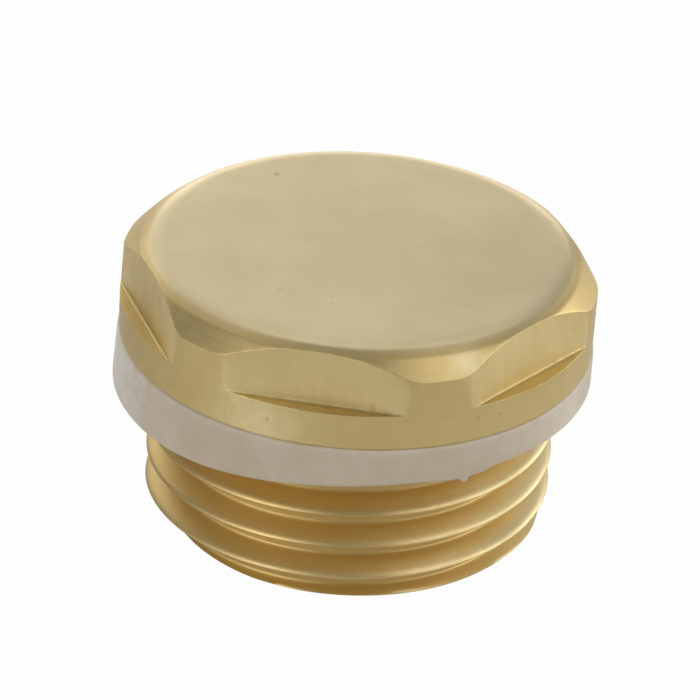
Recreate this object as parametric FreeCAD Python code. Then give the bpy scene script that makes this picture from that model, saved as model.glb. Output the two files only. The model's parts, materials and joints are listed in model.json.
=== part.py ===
import FreeCAD, Part
import math
import os

# Sizes in millimetres. Z = 0 is the sealing plane, the washer's underside, and +Z points to the head.

# Thread: G 1/2, right-hand, 55 degrees between its flanks
thread_radius = 20.955 / 2
thread_pitch = 25.4 / 14
thread_depth = 0.640327 * thread_pitch
flank_degrees = 27.5
crest_flat = thread_pitch / 6
groove_overshoot = 0.12
thread_clocking = -113.0

# Shank
shank_length = 7.65
shank_wall = 2.2
wall_arcs = 8
end_chamfer = 0.7
relief_depth = 0.12
relief_shoulder = 0.45
thread_top_gap = 0.15

# Blind bore from below
bore_mouth_chamfer = 0.4
bore_corner = 0.8
crown_thickness = 3.4

# Sealing washer
washer_thickness = 2.2
washer_width = 1.55
washer_clearance = 0.1225
washer_edge = 0.25

# Head
head_height = 4.88
head_inset = 0.07
head_edge = 0.12
flange_height = 1.78
chamfer_height = 0.86
chamfer_width = 0.93
rim_drop = 0.36
rim_width = 0.66

# Spanner flats
flat_count = 6
ledge_width = 1.08
foot_radius = 0.2

# How far a cutting shape reaches past what it cuts
cut_margin = 1.0

# Radii and heights that follow from those sizes
relief_radius = thread_radius - thread_depth - relief_depth
bore_radius = relief_radius - shank_wall
washer_bore = thread_radius + washer_clearance
washer_radius = washer_bore + washer_width
head_radius = washer_radius - head_inset
flat_apothem = head_radius - ledge_width
rim_radius = head_radius - chamfer_width
top_radius = rim_radius - rim_width
head_underside = washer_thickness
head_top = head_underside + head_height
crease_height = head_top - rim_drop
corner_top = crease_height - chamfer_height
ledge_height = head_underside + flange_height
shank_end = -shank_length
thread_top = -thread_top_gap
shoulder_top = thread_top + relief_shoulder
bore_top = head_top - crown_thickness


def point(radius, height):
    """A point in the XZ half plane, used for turned profiles."""
    return FreeCAD.Vector(radius, 0, height)


def turned(edges):
    """The solid that a closed profile of edges sweeps in one turn about Z."""
    face = Part.Face(Part.Wire(edges))
    return face.revolve(FreeCAD.Vector(0, 0, 0), FreeCAD.Vector(0, 0, 1), 360)


def straight(points):
    """Straight edges through a row of points."""
    return [Part.makeLine(start, end) for start, end in zip(points, points[1:])]


def arc_between(start, centre, end):
    """A circular arc by its two ends and its centre, the short way round."""
    middle = (start - centre) + (end - centre)
    middle = centre + middle.normalize() * (start - centre).Length
    return Part.Arc(start, middle, end).toShape()


def rod(radius, low, high):
    """An upright rod whose wall is made of equal arcs."""
    centre = FreeCAD.Vector(0, 0, low)
    up = FreeCAD.Vector(0, 0, 1)
    step = 360 / wall_arcs
    arcs = [Part.makeCircle(radius, centre, up, n * step, (n + 1) * step) for n in range(wall_arcs)]
    return Part.Face(Part.Wire(arcs)).extrude(FreeCAD.Vector(0, 0, high - low))


def head_blank():
    """The turned head: flange, corner chamfer and the rounded rim of its top."""
    crease = point(rim_radius, crease_height)
    rim_inner = point(top_radius, head_top)
    rim_round = (rim_width**2 + rim_drop**2) / (2 * rim_drop)
    rim_centre = point(top_radius, head_top - rim_round)
    edges = straight([
        rim_inner,
        point(0, head_top),
        point(0, head_underside),
        point(head_radius - head_edge, head_underside),
        point(head_radius, head_underside + head_edge),
        point(head_radius, corner_top),
        crease,
    ])
    edges.append(arc_between(crease, rim_centre, rim_inner))
    return turned(edges)


def flat_cutter():
    """One block outside the front flat, with the rounded lower corner that the milling leaves."""
    corner = FreeCAD.Vector(-head_radius, -flat_apothem - head_radius, ledge_height)
    block = Part.makeBox(2 * head_radius, head_radius, head_height, corner)
    foot_middle = FreeCAD.Vector(0, -flat_apothem, ledge_height)
    foot = [edge for edge in block.Edges if edge.CenterOfMass.isEqual(foot_middle, 1e-6)]
    return block.makeFillet(foot_radius, foot)


def head():
    """The turned head with its six spanner flats, each ending on a ledge above the flange."""
    shape = head_blank()
    for index in range(flat_count):
        cutter = flat_cutter()
        cutter.rotate(FreeCAD.Vector(0, 0, 0), FreeCAD.Vector(0, 0, 1), index * 360 / flat_count)
        shape = shape.cut(cutter)
    return shape


def relief_ring():
    """The ring cut away behind the thread, down to a shoulder that slopes like a flank."""
    outside = thread_radius + cut_margin
    slope = relief_shoulder / (thread_radius - relief_radius)
    low_outside = thread_top - slope * (outside - thread_radius)
    edges = straight([
        point(relief_radius, shoulder_top),
        point(relief_radius, head_underside),
        point(outside, head_underside),
        point(outside, low_outside),
        point(relief_radius, shoulder_top),
    ])
    return turned(edges)


def end_ring():
    """The ring cut away to chamfer the shank's end."""
    low = shank_end - cut_margin
    inside = thread_radius - end_chamfer - cut_margin
    outside = thread_radius + cut_margin
    edges = straight([
        point(inside, low),
        point(outside, low),
        point(outside, shank_end + end_chamfer + cut_margin),
        point(inside, low),
    ])
    return turned(edges)


def thread_groove():
    """The V groove of the thread, swept up a right-hand helix from below the end into the relief."""
    slope = math.tan(math.radians(flank_degrees))
    root = thread_radius - thread_depth
    outer = thread_radius + groove_overshoot
    half_root = (thread_pitch - crest_flat) / 2 - thread_depth * slope
    half_outer = (thread_pitch - crest_flat) / 2 + groove_overshoot * slope
    stop = shoulder_top + half_outer
    turns = math.ceil((stop + half_outer - shank_end) / thread_pitch)
    start = stop - turns * thread_pitch
    helix = Part.makeLongHelix(thread_pitch, turns * thread_pitch, thread_radius, 0)
    profile = Part.makePolygon([
        point(root, -half_root),
        point(outer, -half_outer),
        point(outer, half_outer),
        point(root, half_root),
        point(root, -half_root),
    ])
    groove = Part.Wire(helix).makePipeShell([profile], True, True)
    turn = thread_clocking + 360 * start / thread_pitch
    groove.rotate(FreeCAD.Vector(0, 0, 0), FreeCAD.Vector(0, 0, 1), turn)
    groove.translate(FreeCAD.Vector(0, 0, start))
    return groove


def bore():
    """The blind bore, with a chamfered mouth at the shank's end and a coned corner at its closed end."""
    low = shank_end - cut_margin
    mouth = bore_radius + bore_mouth_chamfer + cut_margin
    edges = straight([
        point(0, bore_top),
        point(0, low),
        point(mouth, low),
        point(bore_radius, shank_end + bore_mouth_chamfer),
        point(bore_radius, bore_top - bore_corner),
        point(bore_radius - bore_corner, bore_top),
        point(0, bore_top),
    ])
    return turned(edges)


def plug_body():
    """The plug: head, relieved shank with its thread, and the blind bore, all one piece."""
    shank = rod(thread_radius, shank_end, head_underside)
    shank = shank.cut(relief_ring()).cut(end_ring()).cut(thread_groove())
    return head().fuse(shank).cut(bore())


def sealing_washer():
    """The flat ring that seals under the head, with its outer edges broken."""
    ring = Part.makeCylinder(washer_radius, washer_thickness)
    rims = [edge for edge in ring.Edges if edge.Curve.TypeId == "Part::GeomCircle"]
    ring = ring.makeChamfer(washer_edge, rims)
    return ring.cut(Part.makeCylinder(washer_bore, washer_thickness))


os.makedirs("parts", exist_ok=True)
plug_body().exportStep("parts/plug_body.step")
sealing_washer().exportStep("parts/sealing_washer.step")
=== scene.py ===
import json
import math

import bmesh
import bpy
from mathutils import Matrix, Vector


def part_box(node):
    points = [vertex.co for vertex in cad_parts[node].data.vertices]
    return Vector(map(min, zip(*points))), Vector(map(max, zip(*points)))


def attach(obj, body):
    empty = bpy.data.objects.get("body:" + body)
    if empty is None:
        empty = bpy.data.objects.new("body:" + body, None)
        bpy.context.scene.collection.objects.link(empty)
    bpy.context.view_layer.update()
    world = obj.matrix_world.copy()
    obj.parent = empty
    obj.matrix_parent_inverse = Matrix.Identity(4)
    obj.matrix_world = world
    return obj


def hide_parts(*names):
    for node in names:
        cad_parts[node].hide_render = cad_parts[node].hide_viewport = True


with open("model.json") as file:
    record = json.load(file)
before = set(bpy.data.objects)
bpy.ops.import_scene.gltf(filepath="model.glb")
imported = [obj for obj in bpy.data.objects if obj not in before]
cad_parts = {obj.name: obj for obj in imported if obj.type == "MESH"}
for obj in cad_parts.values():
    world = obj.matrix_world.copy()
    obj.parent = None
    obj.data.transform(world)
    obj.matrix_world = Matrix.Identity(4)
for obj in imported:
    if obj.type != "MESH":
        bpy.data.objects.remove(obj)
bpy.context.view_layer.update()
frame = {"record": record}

mm = 0.001

# Sizes that the frame gives
body_low, body_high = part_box("plug_body")
washer_low, washer_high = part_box("sealing_washer")
mounts = {mount["name"]: mount for mount in frame["record"]["mounts"]}
head_radius = body_high.x
head_top = body_high.z
head_underside = washer_high.z
shank_end = body_low.z
washer_radius = washer_high.x
washer_underside = washer_low.z
thread_radius = mounts["thread"]["dims"]["r_mm"] * mm
flat_apothem = -mounts["spanner_flat_front"]["pos_m"][1]

# Head
flange_height = 1.9 * mm
ledge_height = head_underside + flange_height
rim_drop = 0.36 * mm
rim_width = 0.66 * mm
chamfer_height = 0.86 * mm
chamfer_width = 0.93 * mm
rim_radius = head_radius - chamfer_width
top_radius = rim_radius - rim_width
head_columns = 720

# Spanner flats, which lean in a little towards their tops
flat_count = 6
half_sector = math.pi / flat_count
front_flat_turn = -math.pi / 2
flat_top = head_top - 0.29 * mm
flat_lean = 0.28 * mm
arch_rounds = 4

# How far each edge is softened on either side of its corner
rim_soft = 0.6 * mm
crease_soft = 0.09 * mm
arch_soft = 0.02 * mm
foot_soft = 0.15 * mm
ledge_soft = 0.04 * mm
lower_soft = 0.12 * mm
wall_blend = 0.1 * mm
shoulder_blend = 0.28 * mm
shoulder_drop = 1.2 * mm
shoulder_soft = 0.4 * mm
arch_bevel = 0.03 * mm

# A softened corner: its steps, and the support points that keep its sides straight
corner_steps = 5
corner_limit = 0.4
support_reach = 2
support_limit = 0.48

# The milled part of a flat, whose upper corners are round
milled_inset = 0.3 * mm
milled_half = math.sqrt(head_radius**2 - flat_apothem**2) - milled_inset
milled_round = 0.9 * mm
milled_round_height = head_top - rim_drop - chamfer_height - 0.58 * mm
milled_soft = 0.16 * mm
milled_off_from = 0.03 * mm
milled_off_full = 0.1 * mm

# Thread and shank
thread_pitch = 25.4 / 14 * mm
thread_depth = 0.640327 * thread_pitch
flank_slope = math.tan(math.radians(27.5))
crest_flat = thread_pitch / 9
crest_blend = 0.3 * mm
root_blend = 0.15 * mm
form_steps = 30
thread_clocking = math.radians(-113)
thread_steps = 300
thread_root = thread_radius - thread_depth
relief_depth = 0.12 * mm
relief_radius = thread_root - relief_depth
thread_top = -0.15 * mm
shoulder_top = 0.3 * mm
neck_loop = shoulder_top + 1 * mm
end_chamfer = 0.7 * mm
thread_finish_top = head_underside - 1 * mm

# Blind bore
shank_wall = 2.2 * mm
bore_radius = relief_radius - shank_wall
crown_thickness = 3.4 * mm
bore_top = head_top - crown_thickness
bore_corner = 0.8 * mm
bore_mouth = 0.4 * mm
bore_soft = 0.1 * mm
end_face_loop = bore_radius + 1.6 * mm

# Washer, pressed on a little askew
washer_clearance = 0.1225 * mm
washer_bore = thread_radius + washer_clearance
washer_soft = 0.28 * mm
washer_columns = 720
squeeze_mean = -0.3 * mm
squeeze_tilt = 0.75 * mm
squeeze_high_turn = math.radians(-20)
squeeze_sag = -0.25 * mm
sag_turn = math.radians(-120)
sag_width = math.radians(25)
flare = 0.2 * mm
flare_turn = math.radians(-171)
lip = -0.2 * mm
lip_rise = (math.radians(-68), math.radians(-54))
lip_fall = (math.radians(-48.5), math.radians(-43.5))
flash_turn = math.radians(-52.6)
flash_width = math.radians(0.9)
flash_out = 0.14 * mm
flash_down = -0.22 * mm
flash_edge = (0.6, 0.95)

# How near vertices are when they are merged, or count as lying at a height
merge_near = 0.001 * mm
turn_merge_near = 0.004 * mm
cut_near = 0.002 * mm
border_near = 0.01 * mm
sliver = 0.0005 * mm
spin_start = 0.01 * mm

# Bends between faces at which shading breaks, and at which edge wear starts and is full
sharp_from = math.radians(50)
wear_from = math.radians(4)
wear_full = math.radians(12)

# Brass finishes; the marks are stretched along the radius, round the axis and up it
turned_finish = {
    "pale": (0.82, 0.64, 0.29, 1),
    "deep": (0.74, 0.56, 0.24, 1),
    "stretch": (9000, 20, 9000),
    "rough": 0.4,
    "spread": 0.06,
    "marks": 0.001 * mm,
    "brushed": 0.5,
    "rub": 0.1,
}
milled_finish = {
    "pale": (0.95, 0.76, 0.38, 1),
    "deep": (0.83, 0.64, 0.28, 1),
    "stretch": (300, 2500, 300),
    "rough": 0.4,
    "spread": 0.16,
    "marks": 0.003 * mm,
}
threaded_finish = {
    "pale": (0.83, 0.63, 0.29, 1),
    "deep": (0.76, 0.56, 0.23, 1),
    "stretch": (3000, 15, 3000),
    "rough": 0.45,
    "spread": 0.1,
    "marks": 0.002 * mm,
    "brushed": 0.3,
    "rub": 0.1,
}
grain_share = 0.4
brushing_turn = 0.25
# Painted shade: the thread's colour darkens towards its roots, down to this colour
root_shade_colour = (0.75, 0.54, 0.21, 1)
root_shade_end = thread_radius - 0.1 * mm
# Paler colours for the head's top, from partway down its rim upwards
top_pale = (0.87, 0.735, 0.455, 1)
top_deep = (0.81, 0.675, 0.405, 1)
top_from = head_top - 0.8 * rim_drop
speck_colour = (0.2, 0.13, 0.05, 1)
speck_darkness = 0.45
speck_depth = 0.004 * mm
rubbed_colour = (0.86, 0.72, 0.42, 1)

# Washer finish
washer_deep = (0.72, 0.595, 0.435, 1)
washer_pale = (0.78, 0.67, 0.515, 1)
washer_rubbed = (0.80, 0.74, 0.64, 1)
washer_rub = 0.3
washer_rough_low = 0.42
washer_rough_high = 0.54
washer_mottle_scale = 350
washer_mottle_depth = 0.01 * mm
washer_soak = 0.25
washer_soak_colour = (1, 0.8, 0.6)
washer_soak_depth = 0.4 * mm

# Patterns: their noise, and the values between which each of them comes in
grain_noise = {"Scale": 1, "Detail": 3, "Roughness": 0.6}
grain_range = (0.225, 0.775)
cloud_noise = {"Detail": 4, "Roughness": 0.55}
cloud_range = (0.3, 0.7)
cloud_scale = 200
speck_scale = 700
speck_rarity = 0.985
speck_range = (0.04, 0.22)
rub_noise = {"Scale": 500, "Detail": 2}
rub_range = (0.3, 0.65)
patch_noise = {"Scale": 1100, "Detail": 5, "Roughness": 0.65}
patch_range = (0.4, 1.6)

# Painted shade and painted highlights in patches: turn, radius, height, reach, share and colour
# On the head's side: painted shade at the left, and painted highlights on the flange at the front and on
# the chamfer at the front right
painted_side_light = [
    (-150, 11.6 * mm, 4.3 * mm, 7 * mm, 0.52, (0.52, 0.40, 0.18, 1)),
    (-103, 12.1 * mm, 2.6 * mm, 3.6 * mm, 1, (0.98, 0.82, 0.43, 1)),
    (-53, 11.5 * mm, 6.4 * mm, 1.3 * mm, 0.5, (1, 0.88, 0.58, 1)),
]
# On the thread: a painted highlight over its right side
painted_thread_highlight = [
    (-14, thread_radius, -3.2 * mm, 13 * mm, 0.75, (1, 0.86, 0.52, 1)),
]
# On the washer: painted highlights at its left and its right
painted_washer_highlights = [
    (-170, washer_radius, 1.2 * mm, 9 * mm, 1, (1, 0.95, 0.86, 1)),
    (-18, washer_radius, 1.2 * mm, 6 * mm, 0.7, (1, 0.9, 0.75, 1)),
]

# Pits in the head: turn, radius, height and reach
pits = [
    (-116.6, 6.6 * mm, head_top, 0.2 * mm),
    (120.1, 6.5 * mm, head_top, 0.15 * mm),
    (-91.8, 6.6 * mm, head_top, 0.12 * mm),
    (-100.2, head_radius, 3.2 * mm, 0.13 * mm),
    (-50, head_radius, 3.45 * mm, 0.16 * mm),
    (-43.8, head_radius, 3.35 * mm, 0.13 * mm),
]
pit_depth = 0.02 * mm
pit_darkness = 0.35

# Camera, by the photograph's 700 x 700 frame
camera_azimuth = math.radians(9.16)
camera_elevation = math.radians(29.26)
camera_roll = math.radians(3.705)
camera_distance = 200 * mm
camera_near = 10 * mm
image_size = 700
focal_pixels = 3899.6
origin_pixel = (353.5, 366.27)
sensor_width = 36

# Floor and room
floor_reach = 3
floor_gap = 0.02 * mm
floor_colour = (0.79, 0.79, 0.79, 1)
floor_rough = 0.9
floor_shine = 0.2
floor_white_share = 0.98
floor_glossy_share = 0.15
room_colour = (0.18, 0.18, 0.18, 1)

# Softboxes: name, azimuth, elevation, width, height and brightness
softbox_distance = 0.6
softboxes = [
    ("front left softbox", -36, 28, 0.34, 0.26, 2.6),
    ("front right softbox", 54, 26, 0.34, 0.26, 0.9),
    ("right softbox", 90, 24, 0.22, 0.26, 2.2),
    ("right low softbox", 124, 12, 0.24, 0.26, 2.2),
    ("right high softbox", 67, 53, 0.34, 0.36, 1.0),
    ("rear right softbox", 146, 8, 0.34, 0.26, 0.75),
    ("rear right high softbox", 144, 28, 0.34, 0.26, 0.2),
    ("rear softbox", 188, 8, 0.34, 0.26, 1.65),
    ("rear high softbox", 182, 56, 0.34, 0.26, 0.9),
    ("rear left softbox", 213, 9, 0.34, 0.26, 0.4),
    ("rear left high softbox", 211, 28, 0.34, 0.26, 0.4),
    ("left softbox", 234, 28, 0.34, 0.26, 0.66),
    ("left high softbox", 234, 58, 0.34, 0.26, 0.44),
    ("left low softbox", 299, 14, 0.34, 0.26, 0.5),
]


def towards(corner, end, distance, limit):
    """A point a distance from a corner towards an end, but at most a limited share of the way."""
    length = (end - corner).length
    if not length:
        return corner.copy()
    return corner.lerp(end, min(distance / length, limit))


def softened(items):
    """Path points through corners; an item is a point and how far its corner is softened."""
    points = []
    for index, (corner, reach) in enumerate(items):
        if not reach:
            points.append(corner)
            continue
        before = items[index - 1][0]
        after = items[index + 1][0]
        start = towards(corner, before, reach, corner_limit)
        stop = towards(corner, after, reach, corner_limit)
        points.append(towards(corner, before, support_reach * reach, support_limit))
        for step in range(corner_steps + 1):
            share = step / corner_steps
            points.append(start.lerp(corner, share).lerp(corner.lerp(stop, share), share))
        points.append(towards(corner, after, support_reach * reach, support_limit))
    return points


def plain(*points):
    """Path items whose corners aren't softened."""
    return [(Vector(point), 0) for point in points]


def add_path(shape, points, closed=False):
    """Vertices and edges of a path of (radius, height) points in the XZ half plane."""
    verts = [shape.verts.new((point.x, 0, point.y)) for point in points]
    pairs = list(zip(verts, verts[1:]))
    if closed:
        pairs.append((verts[-1], verts[0]))
    return verts, [shape.edges.new(pair) for pair in pairs]


def all_of(shape):
    """Everything in a bmesh, for an operator that takes a mix."""
    return list(shape.verts) + list(shape.edges) + list(shape.faces)


def verts_in(made):
    """The vertices among what an operator made."""
    return [item for item in made if isinstance(item, bmesh.types.BMVert)]


def spin_once(shape, geom, steps):
    """One full turn of a path about the part's axis."""
    bmesh.ops.spin(
        shape,
        geom=geom,
        cent=(0, 0, 0),
        axis=(0, 0, 1),
        angle=2 * math.pi,
        steps=steps,
        use_merge=True,
    )


def place_round(vert, turn, point):
    """Put a vertex at a (radius, height) point, turned about the axis."""
    vert.co = (point.x * math.cos(turn), point.x * math.sin(turn), point.y)


def turn_of(vert):
    """A vertex's turn about the axis."""
    return math.atan2(vert.co.y, vert.co.x)


def soft_min(first, second, blend):
    """The lesser of two values, rounded off where they are nearly the same."""
    near = max(blend - abs(first - second), 0)
    return min(first, second) - near * near / (4 * blend)


def ease(value, low, high):
    """A smooth climb from 0 at low to 1 at high."""
    share = min(max((value - low) / (high - low), 0), 1)
    return share * share * (3 - 2 * share)


def hump(turn, middle, width):
    """A bell round a turn about the axis, 1 at its middle."""
    off = (turn - middle + math.pi) % (2 * math.pi) - math.pi
    return math.exp(-((off / width) ** 2))


def flat_distance(height):
    """How far a flat is from the axis at a height."""
    return flat_apothem + flat_lean * (flat_top - height) / (flat_top - ledge_height)


def wall_at(angle, height, blend):
    """The radius of the head's wall, where the flats are drawn in from the round."""
    return soft_min(flat_distance(height) / math.cos(angle), head_radius, blend)


def head_column(angle):
    """The head's outline from the middle of its top to the relief, at an angle from a flat's middle."""
    arch = flat_top
    for _ in range(arch_rounds):
        shoulder = wall_at(angle, arch, shoulder_blend)
        rim_end = soft_min(shoulder - arch_bevel, rim_radius, wall_blend)
        crease = head_top - rim_drop * (rim_end - top_radius) / rim_width
        arch = crease - (shoulder - rim_end) * chamfer_height / chamfer_width
    wall_top = arch - shoulder_drop
    items = plain((0, head_top), (top_radius / 2, head_top))
    items += [
        (Vector((top_radius, head_top)), rim_soft),
        (Vector((rim_end, crease)), crease_soft),
        (Vector((shoulder, arch)), arch_soft),
        (Vector((wall_at(angle, wall_top, wall_blend), wall_top)), shoulder_soft),
        (Vector((wall_at(angle, ledge_height, wall_blend), ledge_height)), foot_soft),
        (Vector((head_radius, ledge_height)), ledge_soft),
        (Vector((head_radius, head_underside)), lower_soft),
    ]
    items += plain((relief_radius, head_underside))
    return softened(items)


def milled_share(angle, point):
    """How far a point of the head's outline lies within the milled part of a flat, from 0 to 1."""
    if point.y < ledge_height:
        return 0
    across = abs(point.x * math.sin(angle))
    over = across - (milled_half - milled_round)
    up = point.y - milled_round_height
    depth = milled_half - across
    if over > 0 and up > 0:
        depth = milled_round - math.hypot(over, up)
    off_plane = abs(point.x * math.cos(angle) - flat_distance(point.y))
    within = ease(depth, -milled_soft, milled_soft)
    return within * (1 - ease(off_plane, milled_off_from, milled_off_full))


def add_head(shape):
    """The head: a lathe outline, with six flats drawn in to their planes above the ledges."""
    row = shape.verts.layers.int.new("row")
    milled_layer = shape.verts.layers.float.new("milled")
    verts, edges = add_path(shape, head_column(half_sector))
    for index, vert in enumerate(verts):
        vert[row] = index
        vert.co.x = max(vert.co.x, spin_start)
    spin_once(shape, verts + edges, head_columns)
    step = 2 * math.pi / head_columns
    sector_columns = head_columns // flat_count
    sector_start = front_flat_turn - half_sector
    angles = [column * step - half_sector for column in range(sector_columns)]
    outlines = [head_column(angle) for angle in angles]
    for vert in shape.verts:
        turn = turn_of(vert)
        column = round((turn - sector_start) / step) % sector_columns
        point = outlines[column][vert[row]]
        vert[milled_layer] = milled_share(angles[column], point)
        place_round(vert, turn, point)


def thread_form(height):
    """The thread's radius at a height above a groove's middle."""
    from_crest = abs(height % thread_pitch - thread_pitch / 2)
    flank = thread_radius + (crest_flat / 2 - from_crest) / flank_slope
    rounded = -soft_min(-flank, -thread_root, root_blend)
    return soft_min(rounded, thread_radius, crest_blend)


def thread_outline(lift):
    """One pitch of the thread, from the middle of a groove that is lifted to a height to the next."""
    heights = [thread_pitch * step / form_steps for step in range(form_steps + 1)]
    return [Vector((thread_form(height), height + lift)) for height in heights]


def shank_limit(height):
    """The largest radius that the end chamfer and the relief's shoulder leave the thread."""
    end = thread_radius - end_chamfer + (height - shank_end)
    slope = (thread_radius - relief_radius) / (shoulder_top - thread_top)
    shoulder = thread_radius - slope * (height - thread_top)
    return max(min(end, shoulder), relief_radius)


def make_thread():
    """The thread: one turn of its outline, copied up the shank, then cut by chamfer and shoulder."""
    turns = math.ceil((shoulder_top - shank_end) / thread_pitch) + 1
    at_start = -thread_clocking / (2 * math.pi) * thread_pitch
    first = math.floor((shank_end - at_start) / thread_pitch) - 1
    shape = bmesh.new()
    verts, edges = add_path(shape, thread_outline(at_start + first * thread_pitch))
    bmesh.ops.spin(
        shape,
        geom=verts + edges,
        cent=(0, 0, 0),
        axis=(0, 0, 1),
        dvec=(0, 0, thread_pitch / thread_steps),
        angle=2 * math.pi,
        steps=thread_steps,
    )
    one_turn = all_of(shape)
    for turn in range(1, turns):
        copied = verts_in(bmesh.ops.duplicate(shape, geom=one_turn)["geom"])
        bmesh.ops.translate(shape, verts=copied, vec=(0, 0, turn * thread_pitch))
    bmesh.ops.remove_doubles(shape, verts=shape.verts, dist=turn_merge_near)
    for vert in shape.verts:
        radius = min(vert.co.xy.length, shank_limit(vert.co.z))
        place_round(vert, turn_of(vert), Vector((radius, vert.co.z)))
    for height, side in ((shank_end, -1), (shoulder_top, 1)):
        bmesh.ops.bisect_plane(
            shape,
            geom=all_of(shape),
            dist=cut_near,
            plane_co=(0, 0, height),
            plane_no=(0, 0, side),
            clear_outer=True,
        )
    return shape


def join(shape, other):
    """Add one bmesh to another."""
    carrier = bpy.data.meshes.new("carrier")
    other.to_mesh(carrier)
    other.free()
    shape.from_mesh(carrier)
    bpy.data.meshes.remove(carrier)


def border(shape, height):
    """The open edges that lie at a height."""
    return [
        edge for edge in shape.edges
        if edge.is_boundary and all(abs(vert.co.z - height) < border_near for vert in edge.verts)
    ]


def carry_on(shape, edges, points):
    """Carry an open round border on through (radius, height) points, and give its new open edges."""
    for point in points:
        made = bmesh.ops.extrude_edge_only(shape, edges=edges)["geom"]
        for vert in verts_in(made):
            place_round(vert, turn_of(vert), point)
        edges = [item for item in made if isinstance(item, bmesh.types.BMEdge) and item.is_boundary]
    return edges


def bore_outline():
    """The end face, the mouth, the wall and the closed end of the bore, out to in."""
    items = plain((end_face_loop, shank_end))
    items += [
        (Vector((bore_radius + bore_mouth, shank_end)), bore_soft),
        (Vector((bore_radius, shank_end + bore_mouth)), bore_soft),
        (Vector((bore_radius, bore_top - bore_corner)), bore_soft),
        (Vector((bore_radius - bore_corner, bore_top)), bore_soft),
    ]
    items += plain((bore_radius / 2, bore_top))
    return softened(items)


def mark_edges(shape):
    """Write how convex each vertex's sharpest edge is, for the wear."""
    layer = shape.verts.layers.float.new("edge")
    for vert in shape.verts:
        bend = max(edge.calc_face_angle_signed(0) for edge in vert.link_edges)
        vert[layer] = min(max((bend - wear_from) / (wear_full - wear_from), 0), 1)


def linked_object(shape, name):
    """An object of a bmesh, in the scene."""
    mesh = bpy.data.meshes.new(name)
    shape.to_mesh(mesh)
    shape.free()
    piece = bpy.data.objects.new(name, mesh)
    bpy.context.scene.collection.objects.link(piece)
    return piece


def finished(shape, name):
    """A piece of a closed bmesh, smooth but for its sharp edges."""
    bmesh.ops.remove_doubles(shape, verts=shape.verts, dist=merge_near)
    bmesh.ops.dissolve_degenerate(shape, edges=shape.edges, dist=sliver)
    bmesh.ops.recalc_face_normals(shape, faces=shape.faces)
    mark_edges(shape)
    for face in shape.faces:
        face.smooth = True
    piece = linked_object(shape, name)
    piece.data.set_sharp_from_angle(angle=sharp_from)
    return piece


def make_plug():
    """The brass plug as one closed mesh: head, relief, thread, end and bore."""
    shape = bmesh.new()
    add_head(shape)
    bmesh.ops.remove_doubles(shape, verts=shape.verts, dist=merge_near)
    join(shape, make_thread())
    neck = carry_on(shape, border(shape, shoulder_top), [Vector((relief_radius, neck_loop))])
    bmesh.ops.bridge_loops(shape, edges=neck + border(shape, head_underside))
    inner = carry_on(shape, border(shape, shank_end), bore_outline())
    closing = verts_in(bmesh.ops.extrude_edge_only(shape, edges=inner)["geom"])
    bmesh.ops.pointmerge(shape, verts=closing, merge_co=(0, 0, bore_top))
    for face in shape.faces:
        face.material_index = int(face.calc_center_median().z < thread_finish_top)
    return finished(shape, "brass_plug")


def press_askew(vert):
    """Move a washer vertex as the uneven squeeze under the head has: the underside runs out of true."""
    turn = turn_of(vert)
    low = (head_underside - vert.co.z) / (head_underside - washer_underside)
    out = (vert.co.xy.length - washer_bore) / (washer_radius - washer_bore)
    flash = hump(turn, flash_turn, flash_width) * ease(low * out, *flash_edge)
    drop = squeeze_mean + squeeze_tilt * math.cos(turn - squeeze_high_turn)
    drop += squeeze_sag * hump(turn, sag_turn, sag_width)
    drop += lip * ease(turn, *lip_rise) * (1 - ease(turn, *lip_fall))
    wide = flare * max(math.cos(turn - flare_turn), 0) ** 2
    radius = vert.co.xy.length + wide * low * out + flash_out * flash
    place_round(vert, turn, Vector((radius, vert.co.z + drop * low + flash_down * flash)))


def make_washer():
    """The soft ring under the head."""
    shape = bmesh.new()
    corners = (
        (washer_radius, head_underside),
        (washer_radius, washer_underside),
        (washer_bore, washer_underside),
        (washer_bore, head_underside),
    )
    items = [(Vector(corner), washer_soft) for corner in corners]
    top_middle = plain(((washer_bore + washer_radius) / 2, head_underside))
    points = softened(top_middle + items + top_middle)[:-1]
    verts, edges = add_path(shape, points, closed=True)
    spin_once(shape, verts + edges, washer_columns)
    for vert in shape.verts:
        press_askew(vert)
    return finished(shape, "soft_washer")


def add_node(tree, kind, inputs=None, **settings):
    """A node with its settings, and its inputs set to values or linked to other nodes' outputs."""
    node = tree.nodes.new(kind)
    for name, value in settings.items():
        setattr(node, name, value)
    for socket, value in (inputs or {}).items():
        if isinstance(value, bpy.types.NodeSocket):
            tree.links.new(value, node.inputs[socket])
        else:
            node.inputs[socket].default_value = value
    return node


def calculate(tree, operation, first, second):
    """A sum, product or other result of two values."""
    return add_node(tree, "ShaderNodeMath", {0: first, 1: second}, operation=operation).outputs[0]


def ramp(tree, value, low, high):
    """A value smoothly spread from 0 at low to 1 at high."""
    inputs = {"Value": value, "From Min": low, "From Max": high}
    node = add_node(tree, "ShaderNodeMapRange", inputs, interpolation_type="SMOOTHSTEP")
    return node.outputs["Result"]


def colour_between(tree, share, first, second):
    """A colour between two colours."""
    inputs = {"Factor": share, 6: first, 7: second}
    return add_node(tree, "ShaderNodeMix", inputs, data_type="RGBA").outputs[2]


def value_between(tree, share, first, second):
    """A value between two values."""
    inputs = {0: share, 2: first, 3: second}
    return add_node(tree, "ShaderNodeMix", inputs, data_type="FLOAT").outputs[0]


def place_on_part(tree):
    """Where a point of the surface lies on the part."""
    return add_node(tree, "ShaderNodeTexCoord").outputs["Object"]


def off_axis(tree, place):
    """How far a place lies from the part's axis."""
    flat = add_node(tree, "ShaderNodeVectorMath", {0: place, 1: (1, 1, 0)}, operation="MULTIPLY")
    length = add_node(tree, "ShaderNodeVectorMath", {0: flat.outputs[0]}, operation="LENGTH")
    return length.outputs["Value"]


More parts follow.
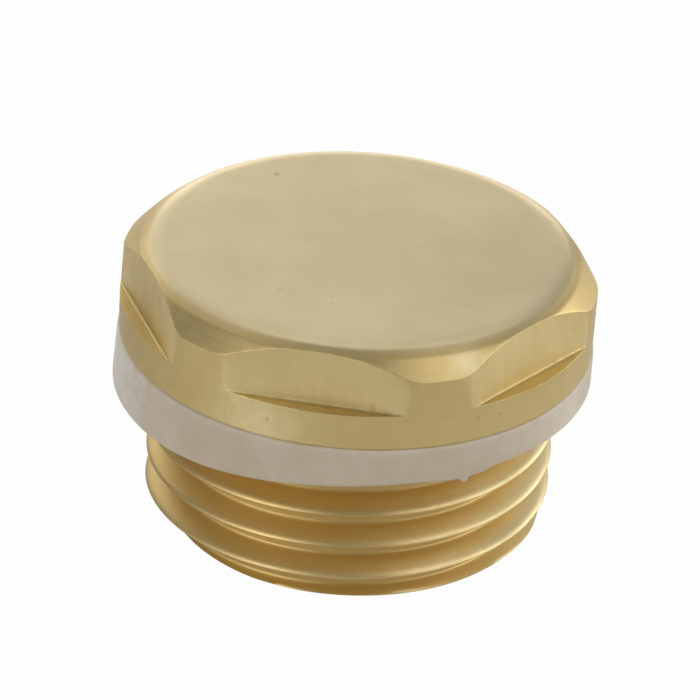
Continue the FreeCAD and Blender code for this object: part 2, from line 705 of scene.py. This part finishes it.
def noise_at(tree, place, settings):
    """A noise pattern over places on the part."""
    return add_node(tree, "ShaderNodeTexNoise", {"Vector": place, **settings}).outputs["Fac"]


def new_group(name, inputs, outputs):
    """An empty shader group with named float or vector sockets, and its own input and output nodes."""
    group = bpy.data.node_groups.new(name, "ShaderNodeTree")
    for socket, kind, value in inputs:
        made = group.interface.new_socket(socket, in_out="INPUT", socket_type=kind)
        made.default_value = value
    for socket in outputs:
        group.interface.new_socket(socket, in_out="OUTPUT", socket_type="NodeSocketFloat")
    return group, group.nodes.new("NodeGroupInput"), group.nodes.new("NodeGroupOutput")


def use_group(tree, group, inputs):
    """A group placed in a material with its own values."""
    return add_node(tree, "ShaderNodeGroup", inputs, node_tree=group).outputs


def make_lathe_grain():
    """Fine tool marks in round coordinates: radius, length round the axis, and height."""
    inputs = [("Stretch", "NodeSocketVector", (1, 1, 1))]
    group, given, out = new_group("lathe grain", inputs, ["Grain"])
    place = place_on_part(group)
    split = add_node(group, "ShaderNodeSeparateXYZ", {0: place}).outputs
    turn = calculate(group, "ARCTAN2", split[1], split[0])
    around = calculate(group, "MULTIPLY", turn, head_radius)
    rolled = add_node(group, "ShaderNodeCombineXYZ", {0: off_axis(group, place), 1: around, 2: split[2]})
    stretch = {0: rolled.outputs[0], 1: given.outputs["Stretch"]}
    scaled = add_node(group, "ShaderNodeVectorMath", stretch, operation="MULTIPLY")
    noise = noise_at(group, scaled.outputs[0], grain_noise)
    group.links.new(ramp(group, noise, *grain_range), out.inputs["Grain"])
    return group


def make_handling():
    """Soft clouds of tarnish and a scatter of small specks."""
    inputs = [
        ("Cloud Scale", "NodeSocketFloat", cloud_scale),
        ("Speck Scale", "NodeSocketFloat", speck_scale),
    ]
    group, given, out = new_group("handling", inputs, ["Cloud", "Specks"])
    place = place_on_part(group)
    cloud = noise_at(group, place, {"Scale": given.outputs["Cloud Scale"], **cloud_noise})
    group.links.new(ramp(group, cloud, *cloud_range), out.inputs["Cloud"])
    cell_inputs = {"Vector": place, "Scale": given.outputs["Speck Scale"]}
    cells = add_node(group, "ShaderNodeTexVoronoi", cell_inputs).outputs
    lot = add_node(group, "ShaderNodeSeparateColor", {0: cells["Color"]}).outputs[0]
    chosen = calculate(group, "GREATER_THAN", lot, speck_rarity)
    dot = calculate(group, "SUBTRACT", 1, ramp(group, cells["Distance"], *speck_range))
    group.links.new(calculate(group, "MULTIPLY", dot, chosen), out.inputs["Specks"])
    return group


def make_edge_rub():
    """Where handling has rubbed the convex edges, broken up along their length."""
    group, given, out = new_group("edge rub", [("Amount", "NodeSocketFloat", 1)], ["Rub"])
    edge = add_node(group, "ShaderNodeAttribute", attribute_name="edge").outputs["Fac"]
    broken = ramp(group, noise_at(group, place_on_part(group), rub_noise), *rub_range)
    rub = calculate(group, "MULTIPLY", edge, broken)
    group.links.new(calculate(group, "MULTIPLY", rub, given.outputs["Amount"]), out.inputs["Rub"])
    return group


def make_patch():
    """A ragged round patch about a place on the part."""
    inputs = [("Centre", "NodeSocketVector", (0, 0, 0)), ("Reach", "NodeSocketFloat", 1)]
    group, given, out = new_group("patch", inputs, ["Share"])
    place = place_on_part(group)
    ends = {0: place, 1: given.outputs["Centre"]}
    away = add_node(group, "ShaderNodeVectorMath", ends, operation="DISTANCE").outputs["Value"]
    reached = calculate(group, "DIVIDE", away, given.outputs["Reach"])
    ragged = calculate(group, "ADD", reached, noise_at(group, place, patch_noise))
    share = calculate(group, "SUBTRACT", 1, ramp(group, ragged, *patch_range))
    group.links.new(share, out.inputs["Share"])
    return group


def new_material(name):
    """A material, its node tree and its shader."""
    material = bpy.data.materials.new(name)
    material.use_nodes = True
    tree = material.node_tree
    return material, tree, tree.nodes["Principled BSDF"]


def worked(tree, groups, handling, finish):
    """The colour, roughness and depth of the tool marks that one way of working the brass leaves."""
    grain = use_group(tree, groups["grain"], {"Stretch": finish["stretch"]})["Grain"]
    tone = value_between(tree, grain_share, handling["Cloud"], grain)
    colour = colour_between(tree, tone, finish["deep"], finish["pale"])
    half = finish["spread"] / 2
    roughness = value_between(tree, grain, finish["rough"] - half, finish["rough"] + half)
    return colour, roughness, calculate(tree, "MULTIPLY", grain, finish["marks"])


def finish_brass(tree, shader, groups, handling, finish, colour, roughness, marks):
    """Specks and rubbed edges over worked brass, and its brushed sheen round the axis."""
    edge = use_group(tree, groups["rub"], {"Amount": finish["rub"]})["Rub"]
    dark = calculate(tree, "MULTIPLY", handling["Specks"], speck_darkness)
    colour = colour_between(tree, dark, colour, speck_colour)
    colour = colour_between(tree, edge, colour, rubbed_colour)
    deep = calculate(tree, "MULTIPLY", handling["Specks"], speck_depth)
    height = calculate(tree, "SUBTRACT", marks, deep)
    relief = add_node(tree, "ShaderNodeBump", {"Height": height, "Strength": 1, "Distance": 1})
    tangent = add_node(tree, "ShaderNodeTangent", direction_type="RADIAL", axis="Z")
    tree.links.new(colour, shader.inputs["Base Color"])
    tree.links.new(roughness, shader.inputs["Roughness"])
    tree.links.new(relief.outputs["Normal"], shader.inputs["Normal"])
    tree.links.new(tangent.outputs[0], shader.inputs["Tangent"])
    shader.inputs["Metallic"].default_value = 1
    shader.inputs["Anisotropic"].default_value = finish["brushed"]
    shader.inputs["Anisotropic Rotation"].default_value = brushing_turn


def patch_share(tree, groups, turn, radius, height, reach):
    """The share of a patch, by its turn about the axis, radius and height."""
    around = math.radians(turn)
    centre = (radius * math.cos(around), radius * math.sin(around), height)
    return use_group(tree, groups["patch"], {"Centre": centre, "Reach": reach})["Share"]


def with_painted_light(tree, groups, colour, patches):
    """A colour with patches of painted shade and painted highlight in it."""
    for turn, radius, height, reach, share, tone in patches:
        here = patch_share(tree, groups, turn, radius, height, reach)
        colour = colour_between(tree, calculate(tree, "MULTIPLY", here, share), colour, tone)
    return colour


def head_brass(groups):
    """The head's brass: turned round its side, paler on its top, and milled on its flats, with painted
    shade and painted highlights in patches on its side.
    """
    material, tree, shader = new_material("head brass")
    handling = use_group(tree, groups["handling"], {})
    milled_here = add_node(tree, "ShaderNodeAttribute", attribute_name="milled").outputs["Fac"]
    height = add_node(tree, "ShaderNodeSeparateXYZ", {0: place_on_part(tree)}).outputs[2]
    on_top = ramp(tree, height, top_from, head_top)
    side_colour, side_rough, side_marks = worked(tree, groups, handling, turned_finish)
    flat_colour, flat_rough, flat_marks = worked(tree, groups, handling, milled_finish)
    top_colour = colour_between(tree, handling["Cloud"], top_deep, top_pale)
    colour = colour_between(tree, milled_here, side_colour, flat_colour)
    # Painted shade and painted highlights in patches on the head's side
    colour = with_painted_light(tree, groups, colour, painted_side_light)
    colour = colour_between(tree, on_top, colour, top_colour)
    roughness = value_between(tree, milled_here, side_rough, flat_rough)
    marks = value_between(tree, milled_here, side_marks, flat_marks)
    for pit in pits:
        here = patch_share(tree, groups, *pit)
        dark = calculate(tree, "MULTIPLY", here, pit_darkness)
        deep = calculate(tree, "MULTIPLY", here, pit_depth)
        colour = colour_between(tree, dark, colour, speck_colour)
        marks = calculate(tree, "SUBTRACT", marks, deep)
    finish_brass(tree, shader, groups, handling, turned_finish, colour, roughness, marks)
    return material


def thread_brass(groups):
    """The brass of the thread, the relief, the end and the bore, with a painted highlight on the
    thread's right side and painted shade that darkens it towards the thread's roots.
    """
    material, tree, shader = new_material("thread brass")
    handling = use_group(tree, groups["handling"], {})
    colour, roughness, marks = worked(tree, groups, handling, threaded_finish)
    # A painted highlight over the thread's right side
    colour = with_painted_light(tree, groups, colour, painted_thread_highlight)
    # Painted shade: darker towards the thread's roots
    out_of_root_shade = ramp(tree, off_axis(tree, place_on_part(tree)), thread_root, root_shade_end)
    colour = colour_between(tree, out_of_root_shade, root_shade_colour, colour)
    finish_brass(tree, shader, groups, handling, threaded_finish, colour, roughness, marks)
    return material


def washer_material(groups):
    """Soft off-white ring: a little light goes into it, it is faintly mottled, and it has painted
    highlights at its left and right.
    """
    material, tree, shader = new_material("soft white washer")
    cloud = use_group(tree, groups["handling"], {"Cloud Scale": washer_mottle_scale})["Cloud"]
    edge = use_group(tree, groups["rub"], {"Amount": washer_rub})["Rub"]
    colour = colour_between(tree, cloud, washer_deep, washer_pale)
    # Painted highlights at the washer's left and right
    colour = with_painted_light(tree, groups, colour, painted_washer_highlights)
    colour = colour_between(tree, edge, colour, washer_rubbed)
    roughness = value_between(tree, cloud, washer_rough_low, washer_rough_high)
    mottle = {"Height": cloud, "Strength": 1, "Distance": washer_mottle_depth}
    relief = add_node(tree, "ShaderNodeBump", mottle)
    tree.links.new(colour, shader.inputs["Base Color"])
    tree.links.new(roughness, shader.inputs["Roughness"])
    tree.links.new(relief.outputs["Normal"], shader.inputs["Normal"])
    shader.inputs["Subsurface Weight"].default_value = washer_soak
    shader.inputs["Subsurface Radius"].default_value = washer_soak_colour
    shader.inputs["Subsurface Scale"].default_value = washer_soak_depth
    return material


def floor_material():
    """A pale floor that is white to the camera, but for the plug's faint shadow."""
    material, tree, shader = new_material("pale floor")
    shader.inputs["Base Color"].default_value = floor_colour
    shader.inputs["Roughness"].default_value = floor_rough
    shader.inputs["Specular IOR Level"].default_value = floor_shine
    glow = add_node(tree, "ShaderNodeEmission", {"Strength": 1})
    ray = add_node(tree, "ShaderNodeLightPath").outputs
    direct = calculate(tree, "MAXIMUM", ray["Is Camera Ray"], ray["Is Transmission Ray"])
    seen = calculate(tree, "MULTIPLY", direct, floor_white_share)
    mirrored = calculate(tree, "MULTIPLY", ray["Is Glossy Ray"], floor_glossy_share)
    share = calculate(tree, "MAXIMUM", seen, mirrored)
    mix = add_node(tree, "ShaderNodeMixShader", {0: share, 1: shader.outputs[0], 2: glow.outputs[0]})
    tree.links.new(mix.outputs[0], tree.nodes["Material Output"].inputs["Surface"])
    return material


def make_floor():
    """A wide floor just under the plug."""
    shape = bmesh.new()
    bmesh.ops.create_grid(shape, x_segments=1, y_segments=1, size=floor_reach)
    bmesh.ops.translate(shape, verts=shape.verts, vec=(0, 0, shank_end - floor_gap))
    floor = linked_object(shape, "floor")
    floor.data.materials.append(floor_material())


def bearing(azimuth, elevation):
    """The direction from the plug to what stands at an azimuth and an elevation about it."""
    return Vector((
        math.sin(azimuth) * math.cos(elevation),
        -math.cos(azimuth) * math.cos(elevation),
        math.sin(elevation),
    ))


def add_softbox(name, azimuth, elevation, width, height, brightness):
    """A softbox that faces the plug from an azimuth and an elevation about it."""
    lamp = bpy.data.lights.new(name, "AREA")
    lamp.shape = "RECTANGLE"
    lamp.size = width
    lamp.size_y = height
    lamp.energy = brightness * math.pi * width * height
    box = bpy.data.objects.new(name, lamp)
    away = bearing(math.radians(azimuth), math.radians(elevation))
    box.location = away * softbox_distance
    box.rotation_euler = away.to_track_quat("Z", "Y").to_euler()
    bpy.context.scene.collection.objects.link(box)


def make_light():
    """Soft studio light: an even, dim room, and softboxes round the plug."""
    world = bpy.data.worlds.new("studio")
    world.use_nodes = True
    world.node_tree.nodes["Background"].inputs["Color"].default_value = room_colour
    bpy.context.scene.world = world
    for softbox in softboxes:
        add_softbox(*softbox)


def make_camera():
    """The photograph's camera: it looks down at the plug from the front, a little turned and rolled."""
    right = Vector((math.cos(camera_azimuth), math.sin(camera_azimuth), 0))
    back = bearing(camera_azimuth, camera_elevation)
    up = back.cross(right)
    turn = Matrix.Rotation(camera_roll, 3, back)
    across = turn @ right
    upright = turn @ up
    scale = camera_distance / focal_pixels
    offset_across = (image_size / 2 - origin_pixel[0]) * scale
    offset_up = (origin_pixel[1] - image_size / 2) * scale
    lens = bpy.data.cameras.new("camera")
    lens.sensor_width = sensor_width
    lens.lens = focal_pixels / image_size * sensor_width
    lens.clip_start = camera_near
    camera = bpy.data.objects.new("camera", lens)
    place = Matrix((across, upright, back)).transposed().to_4x4()
    place.translation = back * camera_distance + across * offset_across + upright * offset_up
    camera.matrix_world = place
    bpy.context.scene.collection.objects.link(camera)
    bpy.context.scene.camera = camera


groups = {
    "grain": make_lathe_grain(),
    "handling": make_handling(),
    "rub": make_edge_rub(),
    "patch": make_patch(),
}

plug = make_plug()
plug.data.materials.append(head_brass(groups))
plug.data.materials.append(thread_brass(groups))
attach(plug, "root")
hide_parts("plug_body")

washer = make_washer()
washer.data.materials.append(washer_material(groups))
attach(washer, "root")
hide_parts("sealing_washer")

make_floor()
make_light()
make_camera()
bpy.context.scene.view_settings.view_transform = "Standard"
